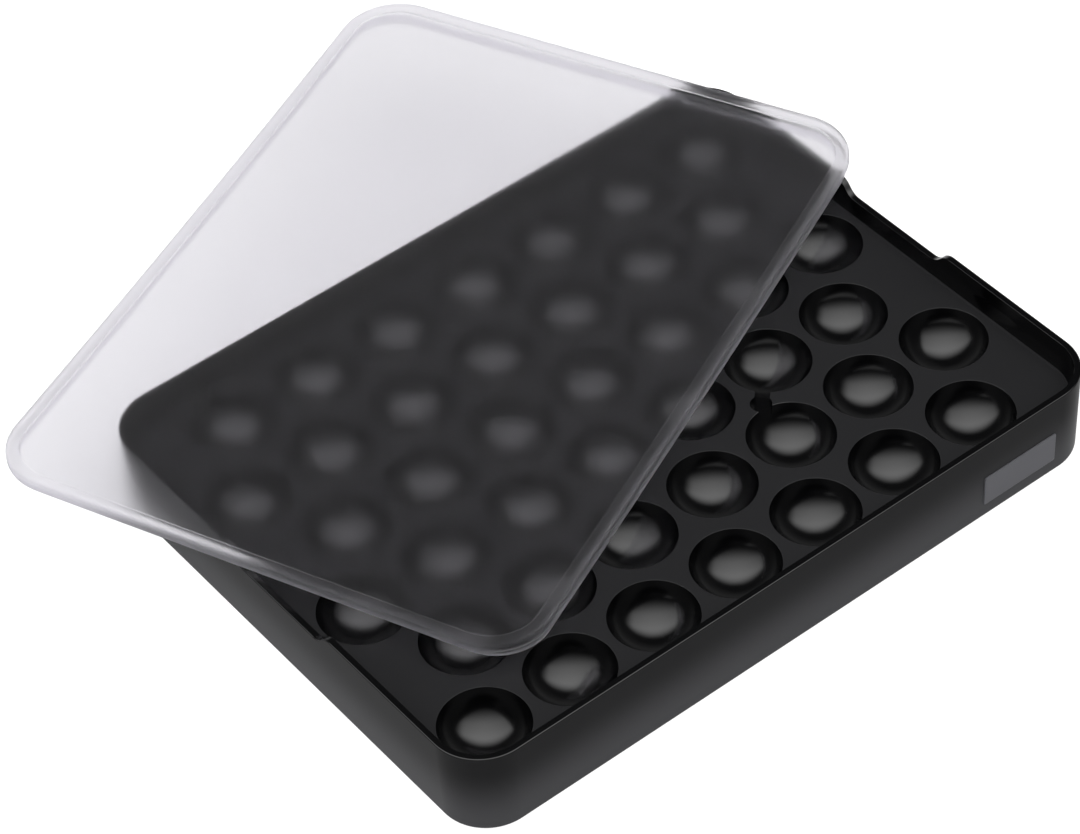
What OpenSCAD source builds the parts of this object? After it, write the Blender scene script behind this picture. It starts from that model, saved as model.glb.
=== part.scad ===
// Ice cube tray for 42 half-round cubes, with its lid laid askew on top.
// Sizes are in mm, +Z is up, and the tray stands on z = 0 at the origin.
// The tray is one soft moulding: a web plate that carries the round cups,
// inside a wall that runs from the table up past the web to the rim.
// The lid is a second, loose moulding that rests on the rim, turned,
// slightly tipped and a little bowed, and it shares no joint with the tray.

/* [Cells] */
// Mouth diameter of one cell
cell_d = 20; // [17:0.25:20.5]
// Depth of one cell below the web
cell_depth = 8.3; // [5:0.1:9]
// Number of cells in one row
col_count = 7; // [6:1:9]
// Number of rows, each second one shifted by half a pitch
row_count = 6; // [6:1:8]
// Spacing of the cells along a row
pitch = 22.5; // [22:0.25:25]
// Spacing of the rows
row_pitch = 21; // [20.5:0.25:23]

/* [Web and cups] */
// Thickness of the plate between the cells
web_t = 1.6; // [1.2:0.1:2]
// Wall thickness of a cup
cup_wall = 1.2; // [0.8:0.1:1.6]
// Room between the cups and the table
cup_lift = 6.3; // [4:0.1:9]
// Land from the outermost cells to the outer face, along the rows
margin_x = 4.375; // [4:0.125:7]
// Land from the outermost cells to the outer face, across the rows
margin_y = 4.75; // [4:0.125:7]

/* [Outer wall] */
// Height of the rim above the web
rim_h = 7.25; // [6:0.05:9]
// Thickness of the wall at the rim
rim_t = 1.6; // [1.2:0.1:2]
// Thickness of the wall where it meets the web
foot_t = 2.4; // [2.2:0.1:3]
// Thickness of the wall below the web, from the outer face
base_t = 2.6; // [2.4:0.1:3]
// Inward lean of the outer face from the rim to the table
draft = 0.5; // [0.2:0.1:0.8]
// Rounding of the outer face at the table
base_round = 1.2; // [0.6:0.1:1.4]
// Outer corner radius, seen from above
corner_r = 12; // [9:0.5:16]

/* [Finger notches] */
// Depth of a notch below the rim
notch_depth = 3.35; // [2.8:0.05:3.6]
// Width along its flat bottom
notch_w = 25.6; // [20:0.1:27]
// Length of the curved end on each side
notch_end = 6.4; // [5:0.1:8]

/* [Link between two cells] */
// Diameter of the round pocket
link_d = 5; // [4:0.1:5.4]
// Width of the channel that leads away from it
link_w = 3.4; // [2:0.1:3.6]
// Depth of pocket and channel
link_depth = 3; // [2:0.1:3.4]

/* [Lid] */
// Thickness of the outer flange
flange_t = 2; // [1.6:0.1:2.4]
// Width of the outer flange
flange_w = 3.2; // [3:0.1:5]
// Thickness of the panel inside the flange
panel_t = 1.4; // [1:0.1:1.5]
// Step from the top of the flange down to the panel
panel_drop = 0.5; // [0.3:0.05:0.6]
// Depth of the plug ring that drops inside the rim
plug_h = 2.5; // [2:0.1:2.5]
// Thickness of the plug ring
plug_t = 1.3; // [1:0.1:1.4]
// Play between the plug ring and the inside of the rim
plug_gap = 0.3; // [0.2:0.05:0.5]
// Width of the rim that the flange covers along the long walls
flange_seat = 0.4; // [0.3:0.05:1.2]
// Corner radius of the lid, seen from above
lid_corner = 14; // [12:0.5:16]

/* [Lid laid askew] */
// Turn of the lid, seen from above
lid_turn = 24.3; // [22:0.1:26]
// Shift of its middle toward the back, as a share of the tray's width
lid_shift = 0.339; // [0.32:0.001:0.35]
// Radius of the slight bow that the thin lid takes along the tray
bow_r = 2340; // [2000:20:4000]
// Height left between the lid and the rim it rests on
rest_gap = 0.2; // [0.1:0.05:0.3]

/* [Hidden] */
$fn = 96;
// Overlap that lets a cut pass clean through a face
eps = 0.5;

// Outer size of the tray, and with it of the lid
tray_l = (col_count - 0.5) * pitch + cell_d + 2 * margin_x;
tray_w = (row_count - 1) * row_pitch + cell_d + 2 * margin_y;

// Heights above the table
web_top = cup_lift + cup_wall + cell_depth;
tray_h = web_top + rim_h;
notch_z = tray_h - notch_depth;

// A cell is the cap of a sphere: its radius, and its centre above the web
cell_r = (pow(cell_d / 2, 2) + pow(cell_depth, 2)) / (2 * cell_depth);
cell_up = cell_r - cell_depth;

// Two equal arcs that meet in the middle of a notch's curved end
notch_r = (pow(notch_end, 2) + pow(notch_depth, 2)) / (4 * notch_depth);

// The centres of the corner arcs
arc_x = tray_l / 2 - corner_r;
arc_y = tray_w / 2 - corner_r;

// The rounding at the table touches both the table and the leaning face
lean = atan(draft / tray_h);
round_x = corner_r - draft - base_round / cos(lean) + base_round * tan(lean);

// Outer size of the lid: flush with the short walls, while its long edges
// cover only part of the rim
lid_l = tray_l;
lid_w = tray_w - 2 * (rim_t - flange_seat);

// The plug ring stands inside the rim: how far in from the tray's outer face,
// and half its length, measured to its inner face
plug_in = rim_t + plug_gap;
plug_half = tray_l / 2 - plug_in - plug_t;

// The lid sits where its plug ring drops through the notch of the left
// short wall: that ties its shift along the rows to its turn
lid_y = lid_shift * tray_w;
cross_y = notch_w / 2 + 0.3 * notch_end;
lid_x = (plug_half + (cross_y - lid_y) * sin(lid_turn)) / cos(lid_turn) - tray_l / 2;

// It rests in three places: with its underside on the left short wall and
// on the back wall, where the bow is lowest, and with its plug ring on the
// right short wall. Both short walls carry it at the end of their notch.
left_x = rim_t - tray_l / 2;
right_x = tray_l / 2;
back_y = tray_w / 2 - rim_t;
bow_x = (pow(right_x, 2) - pow(left_x, 2) - 2 * bow_r * plug_h) / (2 * (right_x - left_x));
lid_tip = atan(pow(bow_x - left_x, 2) / (2 * bow_r) / (back_y - notch_w / 2 - notch_end));

// Middle of a cell: rows are counted from the front, cells from the left
function cell_xy(row, col) = [
    (col + (row % 2) / 2 - (col_count - 0.5) / 2) * pitch,
    (row - (row_count - 1) / 2) * row_pitch
];

// Rounded rectangle centred on the origin
module round_rect(l, w, r) {
    square([l - 2 * r, w], center = true);
    square([l, w - 2 * r], center = true);
    for (x = [-1, 1], y = [-1, 1])
        translate([x * (l / 2 - r), y * (w / 2 - r)])
            circle(r);
}

// Runs a section all round the outline. In the section, x is the distance
// from the centre of a corner arc and y is the height.
module sweep_outline() {
    for (side = [0, 1]) {
        rotate([0, 0, 180 * side])
            translate([arc_x, 0, 0])
                rotate([90, 0, 0])
                    linear_extrude(height = 2 * arc_y, center = true)
                        children();
        rotate([0, 0, 180 * side])
            translate([0, arc_y, 0])
                rotate([90, 0, 90])
                    linear_extrude(height = 2 * arc_x, center = true)
                        children();
        rotate([0, 0, 180 * side]) {
            translate([arc_x, arc_y, 0])
                rotate_extrude(angle = 90)
                    children();
            translate([-arc_x, arc_y, 0])
                rotate([0, 0, 90])
                    rotate_extrude(angle = 90)
                        children();
        }
    }
}

// Section of the tray's wall: leaning outer face, upright inner face down
// to the level of the notches, then a taper to the thicker foot
module wall_section() {
    polygon([
        [corner_r - base_t, 0],
        [round_x, 0],
        [round_x + base_round * cos(lean), base_round * (1 - sin(lean))],
        [corner_r, tray_h],
        [corner_r - rim_t, tray_h],
        [corner_r - rim_t, notch_z],
        [corner_r - foot_t, web_top],
        [corner_r - foot_t, web_top - web_t],
        [corner_r - base_t, web_top - web_t]
    ]);
    intersection() {
        translate([round_x, base_round])
            circle(base_round);
        translate([corner_r - base_t, 0])
            square([base_t, 2 * base_round]);
    }
}

// Outline of a finger notch, centred, with its bottom on y = 0
module notch_shape() {
    half = notch_w / 2;
    mid = half + notch_end / 2;
    translate([-half, 0])
        square([2 * half, notch_depth]);
    intersection() {
        translate([-mid, 0])
            square([2 * mid, notch_depth / 2]);
        for (s = [-1, 1])
            translate([s * half, notch_r])
                circle(notch_r);
    }
    difference() {
        translate([-half - notch_end, notch_depth / 2])
            square([2 * (half + notch_end), notch_depth / 2 + eps]);
        for (s = [-1, 1])
            translate([s * (half + notch_end), notch_depth - notch_r])
                circle(notch_r);
    }
}

// Plan of the pocket and channel that link two cells, grown by some amount
module link_plan(grow) {
    start = cell_xy(1, col_count - 3) + [0.055 * pitch, 0.548 * row_pitch];
    goal = cell_xy(2, col_count - 2);
    run = goal - start;
    translate(start) {
        circle(link_d / 2 + grow);
        rotate([0, 0, atan2(run[1], run[0])])
            translate([0, -link_w / 2 - grow])
                square([norm(run) - cell_d * 0.35, link_w + 2 * grow]);
    }
}

// All cells, as balls of a given radius
module cell_balls(r) {
    for (row = [0 : row_count - 1], col = [0 : col_count - 1])
        translate([cell_xy(row, col)[0], cell_xy(row, col)[1], web_top + cell_up])
            sphere(r);
}

// Lower part of all cups: the balls cut off at the top of the web
module cups() {
    intersection() {
        cell_balls(cell_r + cup_wall);
        translate([-tray_l / 2, -tray_w / 2, 0])
            cube([tray_l, tray_w, web_top]);
    }
}

module tray() {
    color([0.05, 0.05, 0.055])
    difference() {
        union() {
            sweep_outline()
                wall_section();
            translate([0, 0, web_top - web_t])
                linear_extrude(height = web_t)
                    round_rect(tray_l - foot_t, tray_w - foot_t, corner_r - foot_t / 2);
            cups();
            translate([0, 0, web_top - link_depth - cup_wall])
                linear_extrude(height = link_depth + cup_wall)
                    link_plan(cup_wall);
        }
        cell_balls(cell_r);
        translate([0, 0, web_top - link_depth])
            linear_extrude(height = link_depth + eps)
                link_plan(0);
        // One notch through both short walls
        translate([0, 0, notch_z])
            rotate([90, 0, 90])
                linear_extrude(height = tray_l + 2 * eps, center = true)
                    notch_shape();
    }
}

// An upright outline of the lid, cut to the layer between two heights above
// its bowed underside. The layer follows the bow, so every wall keeps its
// thickness.
module bowed(low, high) {
    rise = pow(tray_l, 2) / (2 * bow_r);
    intersection() {
        translate([lid_x, lid_y, -plug_h - eps])
            rotate([0, 0, lid_turn])
                linear_extrude(height = plug_h + rise + flange_t + 2 * eps)
                    children();
        translate([bow_x, 0, bow_r])
            rotate([90, 0, 0])
                difference() {
                    cylinder(r = bow_r - low, h = 4 * tray_l, center = true, $fn = 1440);
                    cylinder(r = bow_r - high, h = 5 * tray_l, center = true, $fn = 1440);
                }
    }
}

// The bowed lid in the tray's plan, with the lowest line of its underside
// on z = 0: panel, flange and plug ring
module lid_plate() {
    in = flange_w;
    bowed(flange_t - panel_drop - panel_t, flange_t - panel_drop)
        round_rect(lid_l - in, lid_w - in, lid_corner - in / 2);
    bowed(0, flange_t)
        difference() {
            round_rect(lid_l, lid_w, lid_corner);
            round_rect(lid_l - 2 * in, lid_w - 2 * in, lid_corner - in);
        }
    bowed(-plug_h, flange_t / 2)
        difference() {
            round_rect(tray_l - 2 * plug_in, tray_w - 2 * plug_in, lid_corner - plug_in);
            round_rect(tray_l - 2 * (plug_in + plug_t), tray_w - 2 * (plug_in + plug_t),
                lid_corner - plug_in - plug_t);
        }
}

// The lid laid askew: tipped about the inner edge of the back wall
module lid() {
    color([0.85, 0.86, 0.9, 0.5])
    translate([0, back_y, tray_h + rest_gap])
        rotate([lid_tip, 0, 0])
            translate([0, -back_y, 0])
                lid_plate();
}

tray();
lid();
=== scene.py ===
# %% [markdown]
# # An ice cube tray with its lid laid askew
#
# The object is a soft black tray with rows of half-round cells, and a loose
# frosted lid that has been put down crooked on its rim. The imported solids
# already hold every size. This notebook gives them the look of the real
# thing: polished cells in a satin tray, and plastic that blurs what lies
# under it. Sizes are written in millimetres and multiplied by MM where a
# mesh is made, +Z is up, and the tray stands on z = 0.

# %% Load the frame
import math
import bpy
import bmesh
import numpy as np
from mathutils import Matrix, Vector


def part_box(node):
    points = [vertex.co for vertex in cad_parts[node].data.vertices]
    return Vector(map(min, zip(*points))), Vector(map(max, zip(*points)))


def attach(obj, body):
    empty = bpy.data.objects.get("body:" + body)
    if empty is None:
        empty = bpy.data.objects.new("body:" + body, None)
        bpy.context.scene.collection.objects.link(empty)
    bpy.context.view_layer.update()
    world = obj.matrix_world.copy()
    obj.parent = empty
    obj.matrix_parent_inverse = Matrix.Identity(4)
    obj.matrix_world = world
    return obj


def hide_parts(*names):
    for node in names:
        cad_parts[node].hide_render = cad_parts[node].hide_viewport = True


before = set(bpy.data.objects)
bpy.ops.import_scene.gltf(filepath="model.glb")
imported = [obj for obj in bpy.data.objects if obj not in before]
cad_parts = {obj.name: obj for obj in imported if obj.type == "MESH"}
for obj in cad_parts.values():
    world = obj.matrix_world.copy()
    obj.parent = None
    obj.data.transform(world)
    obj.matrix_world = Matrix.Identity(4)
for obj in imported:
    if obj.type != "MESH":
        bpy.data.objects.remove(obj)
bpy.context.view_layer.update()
MM = 0.001

# %% [markdown]
# ## The sizes
#
# A moulding follows from few numbers: the pitch of its cells, the thickness
# of its walls, the height of its rim. They are the same values that the
# solids were drawn with, so a piece made here lies on its solid.

# %% Sizes of the tray
cols, rows = 7, 6
cell_d, cell_depth = 20.0, 8.3
pitch, row_pitch = 22.5, 21.0
margin_x, margin_y = 4.375, 4.75
web_t, cup_wall, cup_lift = 1.6, 1.2, 6.3
rim_h, rim_t, foot_t, base_t = 7.25, 1.6, 2.4, 2.6
draft, base_round, corner_r = 0.5, 1.2, 12.0
notch_depth, notch_w, notch_end = 3.35, 25.6, 6.4
tray_l = (cols - 0.5) * pitch + cell_d + 2 * margin_x
tray_w = (rows - 1) * row_pitch + cell_d + 2 * margin_y
web_top = cup_lift + cup_wall + cell_depth
tray_h = web_top + rim_h
low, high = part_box("tray")
print("tray", tray_l, tray_w, tray_h, "solid", [round(v / MM, 2) for v in high - low])

# %% [markdown]
# ## A line round the tray
#
# Tray and lid are both outlined by a rectangle with round corners. Any
# section of them can be run round it, if each point of the outline also
# knows which way is out. Moving a point inward along that direction keeps
# the corner arcs concentric, as a moulder's parting line does. The short
# sides take extra points, because the finger notches need them.

# %% Outline points with their outward directions
CORNER_STEPS = 24

def outline(half_l, half_w, radius, side_ys=()):
    """Points round a rounded rectangle, and the outward direction at each."""
    points, outs = [], []
    for turn, (sx, sy) in enumerate([(1, 1), (-1, 1), (-1, -1), (1, -1)]):
        for k in range(CORNER_STEPS + 1):
            angle = math.pi / 2 * (turn + k / CORNER_STEPS)
            out = (math.cos(angle), math.sin(angle))
            points.append((sx * (half_l - radius) + radius * out[0],
                           sy * (half_w - radius) + radius * out[1]))
            outs.append(out)
        if turn == 1:
            for y in sorted(side_ys, reverse=True):
                points.append((-half_l, y))
                outs.append((-1.0, 0.0))
        if turn == 3:
            for y in sorted(side_ys):
                points.append((half_l, y))
                outs.append((1.0, 0.0))
    return np.array(points), np.array(outs)

# %% [markdown]
# ## From a section to a moulding
#
# A section is a list of (inset, height) pairs. Each pair makes one ring of
# points, and neighbouring rings are joined by faces. A wall has a section
# that closes on itself. A sheet, such as the lid, has an open one: its first
# and last rings are filled with a flat face each.

# %% Objects and lofts
def new_object(name, mesh):
    piece = bpy.data.objects.new(name, mesh)
    bpy.context.scene.collection.objects.link(piece)
    return piece

def object_from(name, bm):
    """An object whose mesh is the given bmesh, which is then freed."""
    mesh = bpy.data.meshes.new(name)
    bm.to_mesh(mesh)
    bm.free()
    return new_object(name, mesh)

def bridge(bm, a, b):
    """Quads between two rings of as many points."""
    for i in range(len(a)):
        j = (i + 1) % len(a)
        bm.faces.new((a[i], a[j], b[j], b[i]))

def loft(name, points, outs, section, heights=None, closed=False, plans=None):
    """A closed piece from rings of points, in metres."""
    bm = bmesh.new()
    rings = []
    for k, (inset, z) in enumerate(section):
        zs = np.full(len(points), z) if heights is None else heights(k, z, points)
        xy = (points if plans is None else plans[k]) - inset * outs
        rings.append([bm.verts.new((x * MM, y * MM, h * MM)) for (x, y), h in zip(xy, zs)])
    for a, b in zip(rings[:-1], rings[1:]):
        bridge(bm, a, b)
    if closed:
        bridge(bm, rings[-1], rings[0])
    else:
        bm.faces.new(rings[0][::-1])
        bm.faces.new(rings[-1])
    bmesh.ops.recalc_face_normals(bm, faces=bm.faces)
    return object_from(name, bm)

# %% [markdown]
# ## Smooth where it is round, sharp where it has an edge
#
# Modifiers are only applied by taking the evaluated mesh, which leaves a
# plain piece behind. The same helper finishes the shading: faces are smooth,
# edges that turn by more than an angle stay sharp, and weighted normals let
# the large flats decide, so that a small rounding doesn't bend their light.

# %% Apply modifiers, shade
def bake(piece):
    """Applies the modifiers by taking the evaluated mesh."""
    graph = bpy.context.evaluated_depsgraph_get()
    graph.update()
    mesh = bpy.data.meshes.new_from_object(piece.evaluated_get(graph), depsgraph=graph)
    piece.modifiers.clear()
    piece.data = mesh
    mesh.name = piece.name

def smooth(piece, angle):
    """Smooth shading that keeps the flats flat and the real edges sharp."""
    piece.data.polygons.foreach_set("use_smooth", [True] * len(piece.data.polygons))
    piece.data.set_sharp_from_angle(angle=math.radians(angle))
    weighted = piece.modifiers.new("flats first", "WEIGHTED_NORMAL")
    weighted.keep_sharp = True
    bake(piece)
    print(piece.name, len(piece.data.polygons), "faces")

def arc(steps, end=math.pi / 2):
    """Angles from 0 to a quarter turn, or to another end."""
    return np.linspace(0, end, steps)

# %% [markdown]
# ## The outer wall
#
# The wall leans in slightly toward the table so that the moulding leaves its
# tool. Its rim is flat with a small round on either edge. Each short wall
# dips in a finger notch, whose ends are two equal arcs that run into each
# other. The notch only lowers the top of the section, so it needs no
# cutting: the rings near the rim are moved down where the notch is. The
# last points of the section run into the web, where the web hides them.

# %% Section of the wall
outer_edge, inner_edge = 0.3, 0.12
notch_floor = web_top + rim_h - notch_depth

def lean(z):
    """How far the outer face stands in from the rim's outline."""
    return draft * (1 - z / tray_h)

wall_section = (
    [(base_t, 0.0)]
    + [(lean(base_round) + base_round - base_round * math.sin(a),
        base_round - base_round * math.cos(a)) for a in arc(7)]
    + [(lean(z), z) for z in (4.0, 8.0, 12.0, web_top, notch_floor - outer_edge - 0.15)]
    + [(outer_edge - outer_edge * math.cos(a), tray_h - outer_edge + outer_edge * math.sin(a))
       for a in arc(5)]
    + [(rim_t - inner_edge + inner_edge * math.sin(a), tray_h - inner_edge + inner_edge * math.cos(a))
       for a in arc(4)]
    + [(rim_t, notch_floor - 0.2), (rim_t + 0.25, notch_floor - 0.9),
       (rim_t + 0.55, web_top + 1.4), (foot_t + 0.1, web_top + 0.35), (foot_t + 0.9, web_top - 0.3),
       (foot_t, web_top - web_t), (base_t, web_top - web_t - 0.2)]
)
top_rings = [k for k, (inset, z) in enumerate(wall_section) if z > tray_h - outer_edge - 0.01]
print("section of", len(wall_section), "points,", len(top_rings), "of them at the rim")

# %% Wall with its two notches
notch_r = (notch_end ** 2 + notch_depth ** 2) / (4 * notch_depth)
half_notch = notch_w / 2
NOTCH_END_STEPS = 14

def notch_drop(y):
    """How far the rim lies below its full height, at a distance along the wall."""
    past = abs(y) - half_notch
    if past <= 0:
        return notch_depth
    if past >= notch_end:
        return 0.0
    if past < notch_end / 2:
        return notch_depth - (notch_r - math.sqrt(notch_r ** 2 - past ** 2))
    return notch_r - math.sqrt(notch_r ** 2 - (notch_end - past) ** 2)

def wall_heights(k, z, points):
    """Ring k of the wall: level, or at the rim lowered where a notch is."""
    if k not in top_rings:
        return np.full(len(points), z)
    return z - np.array([notch_drop(y) if abs(abs(x) - tray_l / 2) < 0.01 else 0.0 for x, y in points])

notch_ys = {round(side * (half_notch + notch_end * k / NOTCH_END_STEPS), 4)
            for side in (-1, 1) for k in range(NOTCH_END_STEPS + 1)}
notch_ys |= {round(y, 4) for y in np.linspace(-half_notch, half_notch, 7)}
points, outs = outline(tray_l / 2, tray_w / 2, corner_r, notch_ys)
wall = loft("tray_wall", points, outs, wall_section, wall_heights, closed=True)
smooth(wall, 30)

# %% [markdown]
# ## One cell
#
# Each cell is the cap of a sphere, let into the web with a small rounded
# mouth. Below the web it shows as a cup. Both skins are made by turning a
# section, once, for one cell; the tray then repeats it. The flat ring round
# the mouth keeps the plate level right up to the rounding. The skin of the
# cell faces up and the skin of the cup faces down, so the two are wound
# opposite ways: a boolean only works on a skin that faces outward all over.

# %% Turn a section
segments = 56

def turned(name, section, flip):
    """A mesh of revolution whose last point lies on the axis."""
    bm = bmesh.new()
    around = np.linspace(0, 2 * math.pi, segments, endpoint=False)
    rings = [[bm.verts.new((r * math.cos(t) * MM, r * math.sin(t) * MM, z * MM)) for t in around]
             for r, z in section[:-1]]
    pole = bm.verts.new((0, 0, section[-1][1] * MM))
    for a, b in zip(rings[:-1], rings[1:]):
        for i in range(segments):
            j = (i + 1) % segments
            bm.faces.new((a[i], a[j], b[j], b[i]) if flip else (b[i], b[j], a[j], a[i]))
    last = rings[-1]
    for i in range(segments):
        j = (i + 1) % segments
        bm.faces.new((last[i], last[j], pole) if flip else (pole, last[j], last[i]))
    mesh = bpy.data.meshes.new(name)
    bm.to_mesh(mesh)
    bm.free()
    return mesh

# %% Sections of the cell and of its cup
mouth_r, round_r = cell_d / 2, 0.3
flat_ring, cup_ring = 0.25, 0.3
ball_r = (mouth_r ** 2 + cell_depth ** 2) / (2 * cell_depth)
ball_up = ball_r - cell_depth

# The rounding touches the flat of the web and the ball: its centre lies
# below the web by its radius, and outside the ball by the same amount.
mouth_c = math.sqrt((ball_r + round_r) ** 2 - (ball_up + round_r) ** 2)
touch = math.atan2(ball_up + round_r, mouth_c)
plate_r = mouth_c + flat_ring
inner = [(plate_r, web_top)]
inner += [(mouth_c - round_r * math.sin(a), web_top - round_r + round_r * math.cos(a))
          for a in arc(6, math.pi / 2 - touch)]
inner += [(ball_r * math.cos(a), web_top + ball_up - ball_r * math.sin(a))
          for a in np.linspace(touch, math.pi / 2, 14)[1:]]

cup_ball = ball_r + cup_wall
cup_start = math.asin((ball_up + web_t) / cup_ball)
cup_r = cup_ball * math.cos(cup_start) + cup_ring
outer = [(cup_r, web_top - web_t)]
outer += [(cup_ball * math.cos(a), web_top + ball_up - cup_ball * math.sin(a))
          for a in np.linspace(cup_start, math.pi / 2, 10)]
cell_mesh = turned("cell", inner, flip=True)
cup_mesh = turned("cup", outer, flip=False)
print("mouth rounding centre", round(mouth_c, 3), "plate hole", round(plate_r, 3))

# %% [markdown]
# ## Shader maths as expressions
#
# The finishes below are sums and products of a few textures. Written as
# Python expressions they can be read at a glance. One class wraps a socket
# and overloads the operators, and every other node comes from one method
# that takes its type, its settings and its inputs. Worlds are made of nodes
# too, so the same class serves them.

# %% A class for sockets and one method for nodes
class Value:
    """A socket that understands +, - and *, and any other Math operation by name."""
    def __init__(self, shader, socket):
        self.shader, self.socket = shader, socket

    def op(self, operation, *others):
        return self.shader.node("ShaderNodeMath", {"operation": operation}, [self, *others])

    def __add__(self, other): return self.op("ADD", other)
    def __radd__(self, other): return self.op("ADD", other)
    def __mul__(self, other): return self.op("MULTIPLY", other)
    def __rmul__(self, other): return self.op("MULTIPLY", other)
    def __sub__(self, other): return self.op("SUBTRACT", other)

    def __rsub__(self, other):
        return self.shader.node("ShaderNodeMath", {"operation": "SUBTRACT"}, [other, self])

class Shader:
    """A material, or a world, whose nodes come from one method."""
    def __init__(self, name, owners=bpy.data.materials, output="ShaderNodeOutputMaterial"):
        self.owner = owners.new(name)
        self.owner.use_nodes = True
        self.tree = self.owner.node_tree
        self.tree.nodes.clear()
        self.output = self.tree.nodes.new(output)

    def node(self, kind, settings=None, inputs=(), out=0):
        node = self.tree.nodes.new(kind)
        for key, value in (settings or {}).items():
            setattr(node, key, value)
        pairs = inputs.items() if isinstance(inputs, dict) else enumerate(inputs)
        for key, value in pairs:
            if isinstance(value, Value):
                self.tree.links.new(value.socket, node.inputs[key])
            else:
                node.inputs[key].default_value = value
        return Value(self, node.outputs[out])

    def finish(self, surface):
        self.tree.links.new(surface.socket, self.output.inputs["Surface"])
        return self.owner

def step(sh, value, start, end, low=0.0, high=1.0):
    """A soft step from one value to another."""
    return sh.node("ShaderNodeMapRange", {"interpolation_type": "SMOOTHSTEP"},
                   {"Value": value, "From Min": start, "From Max": end,
                    "To Min": low, "To Max": high})

def blend(sh, factor, a, b):
    """One colour, or Value, fading into another."""
    return sh.node("ShaderNodeMix", {"data_type": "RGBA"}, {0: factor, 6: a, 7: b}, out=2)

# %% [markdown]
# ## Silicone, satin and polished
#
# The tray is one black silicone, but its tool is polished in the cells, so
# that the cubes slip out, and blasted elsewhere. A polished black surface
# shows little but its reflections: dark rings where the bowl is steep, and a
# pale disc at the bottom. The satin has a fine grain, and a faint cloud in
# its colour and its roughness, as handled silicone has. A low index of
# refraction keeps its sheen weak. Near a white table the outer wall is
# painted paler toward its foot, mixed in by height: a painted reflection
# of the table, which stays in the wall's colour under any light.

# %% Four finishes of silicone
def silicone(name, colour, rough=0.36, spread=0.05, grain=2500.0, bump=0.15, ior=1.45, painted_foot_reflection=None):
    """Dark rubber; with a foot colour it is painted paler toward the table, a painted reflection of the
    white table.
    """
    sh = Shader(name)
    at = sh.node("ShaderNodeTexCoord", out="Object")
    cloud = sh.node("ShaderNodeTexNoise", inputs={"Vector": at, "Scale": 45.0, "Detail": 3.0})
    fine = sh.node("ShaderNodeTexNoise", inputs={"Vector": at, "Scale": grain, "Detail": 2.0})
    tint = blend(sh, cloud, (*[c * 0.9 for c in colour], 1), (*[c * 1.1 for c in colour], 1))
    # Painted reflection of the white table: the colour grows paler toward the foot, by height.
    if painted_foot_reflection:
        height = sh.node("ShaderNodeSeparateXYZ", inputs=[at], out="Z")
        tint = blend(sh, step(sh, height, 19 * MM, 1 * MM), tint, (*painted_foot_reflection, 1))
    normal = sh.node("ShaderNodeBump", inputs={"Strength": bump, "Distance": 0.05 * MM, "Height": fine})
    return sh.finish(sh.node("ShaderNodeBsdfPrincipled", inputs={
        "Base Color": tint, "Roughness": rough + spread * (cloud - 0.5), "Normal": normal, "IOR": ior}))

satin = silicone("satin silicone", (0.0135, 0.0135, 0.0143), ior=1.15)
# The wall's foot colour is a painted reflection of the white table, not a colour of the rubber.
wall_satin = silicone("satin wall", (0.0105, 0.0105, 0.011), ior=1.08, painted_foot_reflection=(0.05, 0.05, 0.053))
polished = silicone("polished silicone", (0.0006, 0.0006, 0.0008),
                    rough=0.18, spread=0.02, grain=900.0, bump=0.0)
plate_finish = silicone("plate silicone", (0.08, 0.08, 0.088), rough=0.45, bump=0.1, ior=1.15)
print("finishes", [m.name for m in (satin, wall_satin, polished, plate_finish)])

# %% [markdown]
# ## Forty-two cells on a staggered lattice
#
# Geometry Nodes lay the cells out. A grid gives one point for each cell, and
# every second row is moved by half a pitch. The same points carry circles
# that are cut out of a flat plate, so plate and cells meet point for point,
# and merging by distance makes one closed skin of them.

# %% A small helper for node trees
class Tree:
    """Adds nodes to a tree and links them, by name or number of socket."""
    def __init__(self, tree):
        self.tree = tree

    def add(self, kind, settings=None, **inputs):
        node = self.tree.nodes.new(kind)
        for key, value in (settings or {}).items():
            setattr(node, key, value)
        for key, value in inputs.items():
            socket = self.socket(node, key)
            if isinstance(value, bpy.types.NodeSocket):
                self.tree.links.new(value, socket)
            else:
                socket.default_value = value
        return node

    def socket(self, node, key):
        """The input called i0, i1 and so on, or the one with the given name."""
        if key.startswith("i") and key[1:].isdigit():
            return node.inputs[int(key[1:])]
        wanted = key.replace("_", " ").lower()
        return [s for s in node.inputs if s.name.lower() == wanted and s.enabled][0]

    def join(self, geometries):
        """All the given geometries as one."""
        into = self.add("GeometryNodeJoinGeometry")
        for geometry in geometries:
            self.tree.links.new(geometry, into.inputs[0])
        return into.outputs[0]

# %% Named inputs of the tree
tree = bpy.data.node_groups.new("cell lattice", "GeometryNodeTree")
KINDS = {"Object": ("Cell", "Cup"), "Int": ("Columns", "Rows"),
         "Float": ("Pitch", "Row pitch", "Hole above", "Hole below",
                   "Length", "Width", "Corner", "Top", "Thickness")}
for kind, names in KINDS.items():
    for name in names:
        tree.interface.new_socket(name=name, in_out="INPUT", socket_type="NodeSocket" + kind)
tree.interface.new_socket(name="Geometry", in_out="OUTPUT", socket_type="NodeSocketGeometry")
t = Tree(tree)
given = tree.nodes.new("NodeGroupInput").outputs

def math_node(operation, a, b=0.0):
    return t.add("ShaderNodeMath", {"operation": operation}, i0=a, i1=b).outputs[0]

def moved_by(geometry, z):
    """A geometry lifted by a height."""
    lift = t.add("ShaderNodeCombineXYZ", Z=z).outputs[0]
    return t.add("GeometryNodeTransform", Geometry=geometry, Translation=lift).outputs[0]

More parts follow.
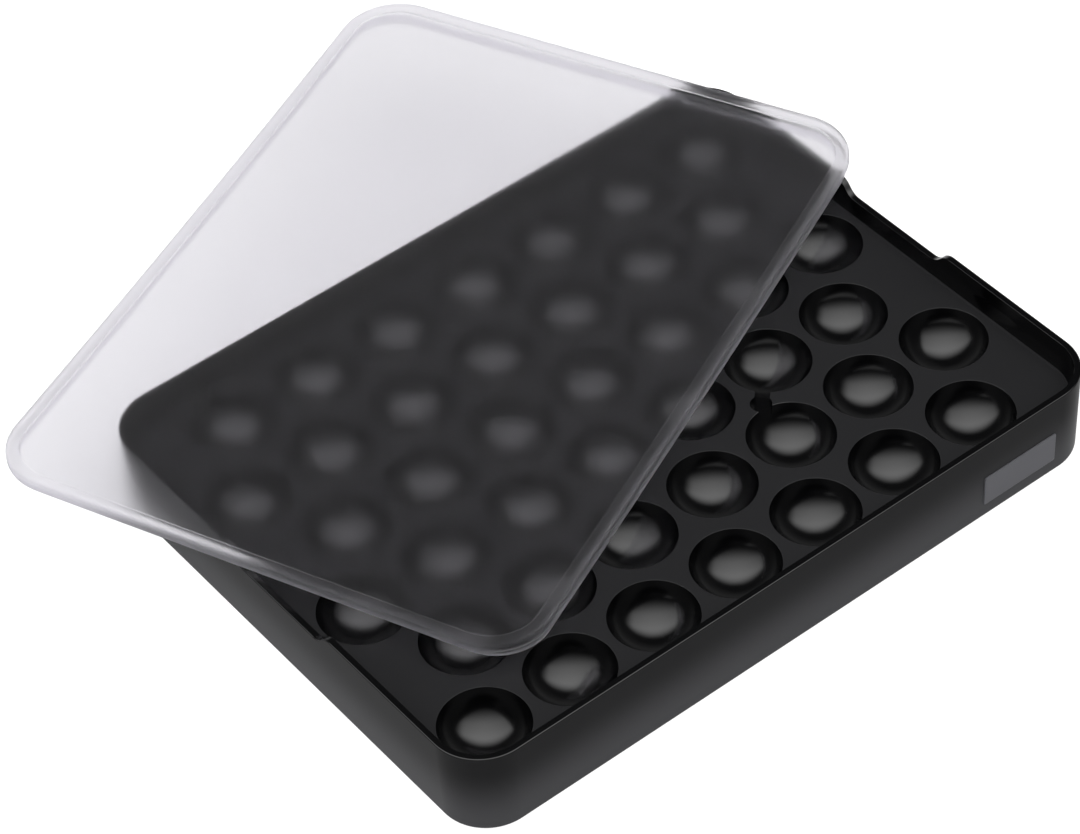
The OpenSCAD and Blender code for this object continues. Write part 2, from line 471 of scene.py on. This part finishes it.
# %% Points of the lattice
long_way = math_node("MULTIPLY", given["Pitch"], math_node("SUBTRACT", given["Columns"], 1))
short_way = math_node("MULTIPLY", given["Row pitch"], math_node("SUBTRACT", given["Rows"], 1))
grid = t.add("GeometryNodeMeshGrid", i0=long_way, i1=short_way,
             i2=given["Columns"], i3=given["Rows"]).outputs[0]
index = t.add("GeometryNodeInputIndex").outputs[0]
odd_row = math_node("MODULO", math_node("MODULO", index, given["Rows"]), 2.0)
side = math_node("SUBTRACT", math_node("MULTIPLY", odd_row, 0.5), 0.25)
shift = t.add("ShaderNodeCombineXYZ", X=math_node("MULTIPLY", side, given["Pitch"])).outputs[0]
staggered = t.add("GeometryNodeSetPosition", Geometry=grid, Offset=shift).outputs[0]
lattice = t.add("GeometryNodeMeshToPoints", Mesh=staggered).outputs[0]

# %% Plate above, plate below, and the edge between them
def plate_skin(hole, z):
    """The flat between the cells, cut out of a rounded rectangle."""
    ring = t.add("GeometryNodeCurvePrimitiveCircle", Resolution=segments, Radius=hole).outputs["Curve"]
    rings = t.add("GeometryNodeInstanceOnPoints", Points=lattice, Instance=ring).outputs[0]
    rings = t.add("GeometryNodeRealizeInstances", Geometry=rings).outputs[0]
    filled = t.add("GeometryNodeFillCurve", Curve=t.join((rings, edge))).outputs[0]
    return moved_by(filled, z)

edge = t.add("GeometryNodeCurvePrimitiveQuadrilateral",
             Width=given["Length"], Height=given["Width"]).outputs[0]
edge = t.add("GeometryNodeFilletCurve", {"mode": "POLY"},
             Curve=edge, Count=12, Radius=given["Corner"]).outputs[0]
above = plate_skin(given["Hole above"], given["Top"])
below = plate_skin(given["Hole below"], math_node("SUBTRACT", given["Top"], given["Thickness"]))
below = t.add("GeometryNodeFlipFaces", Mesh=below).outputs[0]
rail = moved_by(t.add("GeometryNodeCurveToMesh", Curve=edge).outputs[0], given["Top"])
down = t.add("ShaderNodeCombineXYZ", Z=math_node("MULTIPLY", given["Thickness"], -1.0)).outputs[0]
side_skin = t.add("GeometryNodeExtrudeMesh", {"mode": "EDGES"},
                  Mesh=rail, Offset=down, Offset_Scale=1.0).outputs[0]

# %% Cells and cups on the points, and all skins made one
parts = [above, below, side_skin]
for name in ("Cell", "Cup"):
    skin = t.add("GeometryNodeObjectInfo", Object=given[name]).outputs["Geometry"]
    parts.append(t.add("GeometryNodeInstanceOnPoints", Points=lattice, Instance=skin).outputs[0])
whole = t.add("GeometryNodeRealizeInstances", Geometry=t.join(parts)).outputs[0]
whole = t.add("GeometryNodeMergeByDistance", Geometry=whole, Distance=0.004 * MM).outputs[0]
whole = t.add("GeometryNodeSetMaterial", Geometry=whole, Material=satin).outputs[0]
tree.links.new(whole, tree.nodes.new("NodeGroupOutput").inputs[0])
print("tree of", len(tree.nodes), "nodes")

# %% Run the tree on an empty mesh
in_wall = 1.0
cell_object = new_object("cell", cell_mesh)
cup_object = new_object("cup", cup_mesh)
web = new_object("tray_web", bpy.data.meshes.new("tray_web"))
nodes = web.modifiers.new("lattice", "NODES")
nodes.node_group = tree
values = {"Cell": cell_object, "Cup": cup_object, "Columns": cols, "Rows": rows,
          "Pitch": pitch * MM, "Row pitch": row_pitch * MM,
          "Hole above": plate_r * MM, "Hole below": cup_r * MM,
          "Length": (tray_l - 2 * in_wall) * MM, "Width": (tray_w - 2 * in_wall) * MM,
          "Corner": (corner_r - in_wall) * MM, "Top": web_top * MM, "Thickness": web_t * MM}
for item in tree.interface.items_tree:
    if item.in_out == "INPUT":
        nodes[item.identifier] = values[item.name]
bake(web)
for helper in (cell_object, cup_object):
    bpy.data.objects.remove(helper)
print("web", len(web.data.polygons), "faces")

# %% [markdown]
# ## The link between two cells
#
# Near the lid's edge a round pocket opens into one cell, and a short channel
# leads on to the next. It is moulded in one piece with the web: a boss below
# carries it, and the pocket is cut into that boss. Both come from one plan,
# grown by the wall for the boss. The boss ends inside the wall of the cups,
# so that none of it shows in a bowl. Exact booleans keep the skin closed.

# %% Where the cells and the pocket are
def cell_xy(row, col):
    """The middle of a cell, counted from 0 at the front left."""
    return np.array([(col + (row % 2) / 2 - (cols - 0.5) / 2) * pitch, (row - (rows - 1) / 2) * row_pitch])

link_d, link_w, link_depth, into_cell = 5.0, 3.4, 3.0, 0.35
linked = cell_xy(1, cols - 3), cell_xy(2, cols - 2)
pocket_at = linked[0] + np.array([0.055 * pitch, 0.548 * row_pitch])
print("pocket at", pocket_at.round(2), "between", *[c.round(2) for c in linked])

# %% Boss and pocket
def link_body(name, grow, z0, z1):
    """Pocket and channel as one closed prism."""
    run = linked[1] - pocket_at
    turn, reach = math.atan2(run[1], run[0]), np.hypot(*run) - cell_d * into_cell
    r, w = link_d / 2 + grow, link_w / 2 + grow
    lip = math.asin(w / r)
    plan = [(r * math.cos(a), r * math.sin(a)) for a in np.linspace(lip, 2 * math.pi - lip, 33)]
    plan += [(reach, -w), (reach, w)]
    c, d = math.cos(turn), math.sin(turn)
    plan = np.array([(pocket_at[0] + x * c - y * d, pocket_at[1] + x * d + y * c) for x, y in plan])
    return loft(name, plan, np.zeros_like(plan), [(0, z0), (0, z1)])

def boolean(piece, helper, operation):
    """One exact boolean, after which the helper goes."""
    cut = piece.modifiers.new(operation.lower(), "BOOLEAN")
    cut.object, cut.operation, cut.solver = helper, operation, "EXACT"
    bake(piece)
    bpy.data.objects.remove(helper)

def open_edges(piece):
    """How many edges aren't shared by just two faces."""
    bm = bmesh.new()
    bm.from_mesh(piece.data)
    count = sum(1 for e in bm.edges if len(e.link_faces) != 2)
    bm.free()
    return count

boss = link_body("boss", cup_wall, web_top - link_depth - cup_wall, web_top - 0.3)
pocket = link_body("pocket", 0.0, web_top - link_depth, web_top + 1.0)
for middle in linked:
    bm = bmesh.new()
    bmesh.ops.create_uvsphere(bm, u_segments=96, v_segments=64, radius=(ball_r + cup_wall / 2) * MM)
    bmesh.ops.translate(bm, verts=bm.verts, vec=(*middle * MM, (web_top + ball_up) * MM))
    boolean(boss, object_from("core", bm), "DIFFERENCE")
print("boss", len(boss.data.polygons), "faces,", open_edges(boss), "open edges")

# %% Booleans on the web
boolean(web, boss, "UNION")
boolean(web, pocket, "DIFFERENCE")
print("web", len(web.data.polygons), "faces,", open_edges(web), "open edges")
smooth(web, 32)

# %% [markdown]
# ## The lid
#
# The lid is a thin panel inside a thicker flange, with a plug ring below
# that would drop inside the rim. Its section runs from the middle of the
# top, out over the flange, down and back under the plug ring to the middle
# of the underside, and the same loft turns it into a closed moulding.

# %% Sections of the flange and of the plug ring
flange_t, flange_w, panel_t, panel_drop = 2.0, 3.2, 1.4, 0.5
plug_h, plug_t, plug_gap, flange_seat, lid_corner = 2.5, 1.3, 0.3, 0.4, 14.0
top_round, low_round, step_round, plug_round = 0.6, 0.4, 0.2, 0.3
lid_l, lid_w = tray_l, tray_w - 2 * (rim_t - flange_seat)
plug_in = rim_t + plug_gap
plug_out = plug_in + plug_t
panel_z = flange_t - panel_drop
under_z = panel_z - panel_t

flange_section = (
    [(flange_w + 0.6, panel_z), (flange_w + 0.15, panel_z), (flange_w, panel_z + 0.12),
     (flange_w, flange_t - step_round)]
    + [(flange_w - step_round + step_round * math.cos(a), flange_t - step_round + step_round * math.sin(a))
       for a in arc(4)[1:]]
    + [(top_round - top_round * math.sin(a), flange_t - top_round + top_round * math.cos(a))
       for a in arc(6)]
    + [(low_round - low_round * math.cos(a), low_round - low_round * math.sin(a)) for a in arc(5)]
)
plug_low = -plug_h + plug_round
plug_section = (
    [(plug_in - 0.12, 0.0), (plug_in, -0.12)]
    + [(plug_in + plug_round - plug_round * math.cos(a), plug_low - plug_round * math.sin(a))
       for a in arc(5)]
    + [(plug_out - plug_round + plug_round * math.sin(a), plug_low - plug_round * math.cos(a))
       for a in arc(5)]
    + [(plug_out, under_z - 0.2), (plug_out + 0.2, under_z), (plug_out + 0.6, under_z)]
)

# %% Flat lid
# The long edges of the flange stand back from the tray's outer face, so the
# plug ring keeps its own outline: that of the tray, moved in.
lid_points, outs = outline(lid_l / 2, lid_w / 2, lid_corner)
plug_points, _ = outline(tray_l / 2, tray_w / 2, lid_corner)
sections = flange_section + plug_section
plans = [lid_points] * len(flange_section) + [plug_points] * len(plug_section)
lid = loft("lid_shell", lid_points, outs, sections, plans=plans)

# The faces come ring by ring, with the two caps last: all of them but the
# caps and their neighbours belong to the thick rim of the lid.
panel_rings = (0, 1, len(sections) - 2, len(sections) - 1)
in_rim = [int(k // len(outs) not in panel_rings) for k in range(len(lid.data.polygons))]
lid.data.polygons.foreach_set("material_index", in_rim)
print("lid", lid_l, round(lid_w, 2), "with", sum(in_rim), "of", len(in_rim), "faces in its rim")

# %% [markdown]
# ## Lay it askew
#
# Turned in plan, the lid sits where its plug ring drops through the left
# finger notch. It rests on both short walls, at the end of their notch, and
# on the back wall, and it takes a slight bow along the tray. The bow needs
# points to bend at, so the flat lid is first cut into strips across it.

# %% Where it rests
lid_turn, lid_shift, bow_r, rest_gap = math.radians(24.3), 0.339, 2340.0, 0.2
into_notch_end = 0.3
lid_y = lid_shift * tray_w
cross_y = notch_w / 2 + into_notch_end * notch_end
lid_x = ((tray_l / 2 - plug_out + (cross_y - lid_y) * math.sin(lid_turn)) / math.cos(lid_turn)
         - tray_l / 2)
left_x, right_x, back_y = rim_t - tray_l / 2, tray_l / 2, tray_w / 2 - rim_t
bow_x = (right_x ** 2 - left_x ** 2 - 2 * bow_r * plug_h) / (2 * (right_x - left_x))
lid_tip = math.atan((bow_x - left_x) ** 2 / (2 * bow_r) / (back_y - notch_w / 2 - notch_end))

# %% Turn, bow and tip
STRIP, FIRST_CUT, LAST_CUT = 6.0, -112.0, 96.0
lid.data.transform(Matrix.Translation((lid_x * MM, lid_y * MM, 0)) @ Matrix.Rotation(lid_turn, 4, "Z"))
bm = bmesh.new()
bm.from_mesh(lid.data)
for x in np.arange(FIRST_CUT, LAST_CUT, STRIP):
    bmesh.ops.bisect_plane(bm, geom=bm.verts[:] + bm.edges[:] + bm.faces[:],
                           plane_co=(x * MM, 0, 0), plane_no=(1, 0, 0))
for v in bm.verts:
    v.co.z += (bow_r - math.sqrt(bow_r ** 2 - (v.co.x / MM - bow_x) ** 2)) * MM
bm.to_mesh(lid.data)
bm.free()
lid.data.transform(Matrix.Translation((0, back_y * MM, (tray_h + rest_gap) * MM))
                   @ Matrix.Rotation(lid_tip, 4, "X") @ Matrix.Translation((0, -back_y * MM, 0)))
smooth(lid, 40)
low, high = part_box("lid")
print("lid at", round(lid_x, 2), round(lid_y, 2), "tipped", round(math.degrees(lid_tip), 2),
      "solid", [round(v / MM, 2) for v in (*low, *high)], "piece",
      [round(f(v.co[i] for v in lid.data.vertices) / MM, 2) for f in (min, max) for i in range(3)])

# %% [markdown]
# ## The bare plate on the front wall
#
# A low rectangular pad is moulded on the front long wall, near its right
# end. It stays bare. It is a thin block with rounded edges that leans with
# the wall, and its back lies inside the wall.

# %% Plate
plate_x, plate_z, plate_up, plate_round = (52.5, 73.5), (4.4, 12.7), 0.35, 0.5

def plate_corner(turn, x, z):
    """The points of one rounded corner, from the given quarter turn on."""
    return [(x + plate_round * math.cos(a + turn * math.pi / 2),
             z + plate_round * math.sin(a + turn * math.pi / 2)) for a in arc(6)]

def pad(name, x0, x1, z0, z1, up):
    """A rounded plate on the front wall, from rings that rise out of it."""
    r = plate_round
    ring = (plate_corner(0, x1 - r, z1 - r) + plate_corner(1, x0 + r, z1 - r)
            + plate_corner(2, x0 + r, z0 + r) + plate_corner(3, x1 - r, z0 + r))
    mid_x, mid_z = (x0 + x1) / 2, (z0 + z1) / 2
    bm = bmesh.new()
    loops = []
    for inset, out in ((0, -0.6), (0, up - 0.15), (0.05, up - 0.05), (0.15, up), (0.6, up)):
        loop = []
        for x, z in ring:
            x = mid_x + (x - mid_x) * (1 - 2 * inset / (x1 - x0))
            z = mid_z + (z - mid_z) * (1 - 2 * inset / (z1 - z0))
            loop.append(bm.verts.new((x * MM, (-tray_w / 2 + lean(z) - out) * MM, z * MM)))
        loops.append(loop)
    for a, b in zip(loops[:-1], loops[1:]):
        bridge(bm, a, b)
    bm.faces.new(loops[0])
    bm.faces.new(loops[-1])
    bmesh.ops.recalc_face_normals(bm, faces=bm.faces)
    return object_from(name, bm)

plate = pad("wall_plate", *plate_x, *plate_z, plate_up)
smooth(plate, 40)

# %% [markdown]
# ## Frosted plastic
#
# The lid lets nearly all light through and scatters it on the way, so what
# lies close below it is only blurred, and the table further down melts into
# an even white. That is a transmission with a rough surface and a low index
# of refraction, so that the edges don't shine like glass. The rim of the lid
# is thicker, scatters more and looks milkier: it gets a rougher copy.

# %% Panel and rim of the lid
def frosted(name, rough, clear):
    """Plastic that blurs what lies behind it."""
    sh = Shader(name)
    at = sh.node("ShaderNodeTexCoord", out="Object")
    cloud = sh.node("ShaderNodeTexNoise", inputs={"Vector": at, "Scale": 30.0, "Detail": 2.0})
    return sh.finish(sh.node("ShaderNodeBsdfPrincipled", inputs={
        "Base Color": (0.86, 0.85, 0.885, 1), "Roughness": rough + 0.03 * (cloud - 0.5), "IOR": 1.27,
        "Specular Tint": (0.0, 0.0, 0.0, 1), "Transmission Weight": clear}))

panel_plastic = frosted("frosted panel", 0.4, 0.997)
rim_plastic = frosted("frosted rim", 0.62, 0.993)

# %% [markdown]
# ## A finish for every face
#
# Where the tool is polished is a matter of place: on the ball of a cell, in
# the pocket, and on the top and the inside of the rim. So each face is
# asked where its middle lies. Then every piece is parented to the body,
# and the solid it replaces is hidden.

# %% Finishes by place
wall.data.materials.append(wall_satin)
wall.data.materials.append(polished)
for face in wall.data.polygons:
    inward = face.normal.xy.dot(face.center.xy) < 0
    at_rim = face.center.z / MM > web_top + 0.6
    face.material_index = int(at_rim and (inward or face.normal.z > 0.6))
plate.data.materials.append(plate_finish)
lid.data.materials.append(panel_plastic)
lid.data.materials.append(rim_plastic)
web.data.materials.clear()
web.data.materials.append(satin)
web.data.materials.append(polished)
centres = [cell_xy(row, col) for row in range(rows) for col in range(cols)]
for face in web.data.polygons:
    x, y, z = face.center / MM
    near = min(math.dist((x, y), centre) for centre in centres)
    in_cell = abs(math.dist((near, z), (0, web_top + ball_up)) - ball_r) < 0.05
    in_pocket = (math.dist((x, y), pocket_at) < 1.2 * link_d
                 and web_top - link_depth - 0.01 < z < web_top - 0.05)
    face.material_index = int(in_cell or in_pocket)
print("polished faces", sum(f.material_index for f in web.data.polygons))

# %% Bodies, and the solids the pieces replace, hidden
for piece, node, slot in ((wall, "tray", "tray"), (web, "tray", "tray"),
                          (plate, None, "tray"), (lid, "lid", "lid")):
    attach(piece, "root")
    if node:
        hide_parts(node)

# %% [markdown]
# ## Floor
#
# The object stands on white paper that runs on to the horizon. The camera
# and reflections see it nearly white by its own glow, with a soft shadow
# left in it. Rays that came through the lid see a part of that glow, so the
# shade near the tray still shows through the plastic. All other rays see
# plain paper, which throws ordinary light on the walls.

# %% White floor
bm = bmesh.new()
bmesh.ops.create_grid(bm, x_segments=1, y_segments=1, size=6.0)
floor = object_from("floor", bm)
sh = Shader("white floor")
path = sh.tree.nodes.new("ShaderNodeLightPath")
direct = Value(sh, path.outputs["Is Camera Ray"]) + Value(sh, path.outputs["Is Glossy Ray"])
through = Value(sh, path.outputs["Is Transmission Ray"])

def paper(grey, glow):
    """White paper that shows part of its white as its own glow."""
    return sh.node("ShaderNodeBsdfPrincipled", inputs={
        "Base Color": (grey, grey, grey, 1), "Roughness": 0.8, "Specular IOR Level": 0.0,
        "Emission Color": (1, 1, 1, 1), "Emission Strength": glow})

shown = sh.node("ShaderNodeMixShader", inputs={0: direct, 1: paper(0.82, 0.0), 2: paper(0.25, 0.9)})
floor.data.materials.append(sh.finish(sh.node("ShaderNodeMixShader", inputs={
    0: through, 1: shown, 2: paper(0.45, 0.42)})))

# %% [markdown]
# ## Light
#
# The bottoms of the cells are small mirrors, and each shows the same light:
# a broad soft one overhead, which fades toward the camera. One glowing sheet
# does that. Its strength is worked out from the direction in which the tray
# sees it, in two angles, so that it has soft edges and no hard corner shows
# in a bowl. The studio round it is dim above and pale at the horizon, which
# draws a little light along the walls.

# %% A dim studio that is pale at the horizon
def along(sh, way, axis):
    """How far a vector reaches along an axis."""
    return sh.node("ShaderNodeVectorMath", {"operation": "DOT_PRODUCT"}, [way, axis], out="Value")

UP = (0.0, 0.0, 1.0)
sky = Shader("studio", bpy.data.worlds, "ShaderNodeOutputWorld")
rise = along(sky, sky.node("ShaderNodeTexCoord", out="Generated"), UP)
bpy.context.scene.world = sky.finish(sky.node("ShaderNodeBackground", inputs={
    "Color": (1, 1, 1, 1), "Strength": step(sky, rise, 0.12, 0.42, 1.0, 0.06)}))

# %% One soft panel overhead
toward, across = np.array((-0.592, -0.806, 0.0)), np.array((0.806, -0.592, 0.0))
panel_h, aim = 0.7, (0.02, -0.035, 0.016)
back_end, front_end, half_span = -0.5, 2.2, 3.0
corners = ((back_end, -half_span), (front_end, -half_span), (front_end, half_span), (back_end, half_span))
bm = bmesh.new()
bm.faces.new([bm.verts.new(Vector(aim) + Vector(f * toward + s * across + (0, 0, panel_h)))
              for f, s in corners])
panel = object_from("light panel", bm)

sh = Shader("soft panel")
way = sh.node("ShaderNodeVectorMath", {"operation": "SUBTRACT"},
              [sh.node("ShaderNodeTexCoord", out="Object"), aim])
way = sh.node("ShaderNodeVectorMath", {"operation": "NORMALIZE"}, [way])
fore = along(sh, way, toward).op("ARCTAN2", along(sh, way, UP))
aside = along(sh, way, across).op("ARCSINE")

def fade(angle, dark, bright):
    """Rises from nothing at one angle to the full light at another, in degrees."""
    return step(sh, angle, math.radians(dark), math.radians(bright))

shape = fade(fore, -32, 0) * fade(fore, 72, 30) * fade(aside, 75, 45) * fade(aside, -85, -60)
strength = 3.9 * shape * (1.0 - 0.54 * fore) * (1.0 - 0.38 * aside * aside)
panel.data.materials.append(sh.finish(sh.node("ShaderNodeEmission", inputs={
    "Color": (1, 1, 1, 1), "Strength": strength})))
panel.visible_camera = False

# %% [markdown]
# ## Camera
#
# The camera stands where the photograph was taken from. Its place, its turn
# and its lens were solved from the lattice of cells and the corners of the
# rim, whose sizes are known.

# %% Camera
camera = bpy.data.cameras.new("camera")
camera.lens, camera.sensor_width, camera.sensor_fit = 129.02, 36.0, "HORIZONTAL"
camera.clip_start, camera.clip_end = 0.05, 10
eye = new_object("camera", camera)
eye.matrix_world = Matrix.Translation((-0.355135, -0.483798, 0.621112)) @ Matrix((
    (0.782764, 0.47281, -0.404637),
    (-0.619609, 0.531516, -0.57756),
    (-0.058006, 0.70281, 0.709009))).to_4x4()
bpy.context.scene.camera = eye
bpy.context.scene.view_settings.view_transform = "Standard"
print("camera at", [round(v, 3) for v in eye.matrix_world.translation])
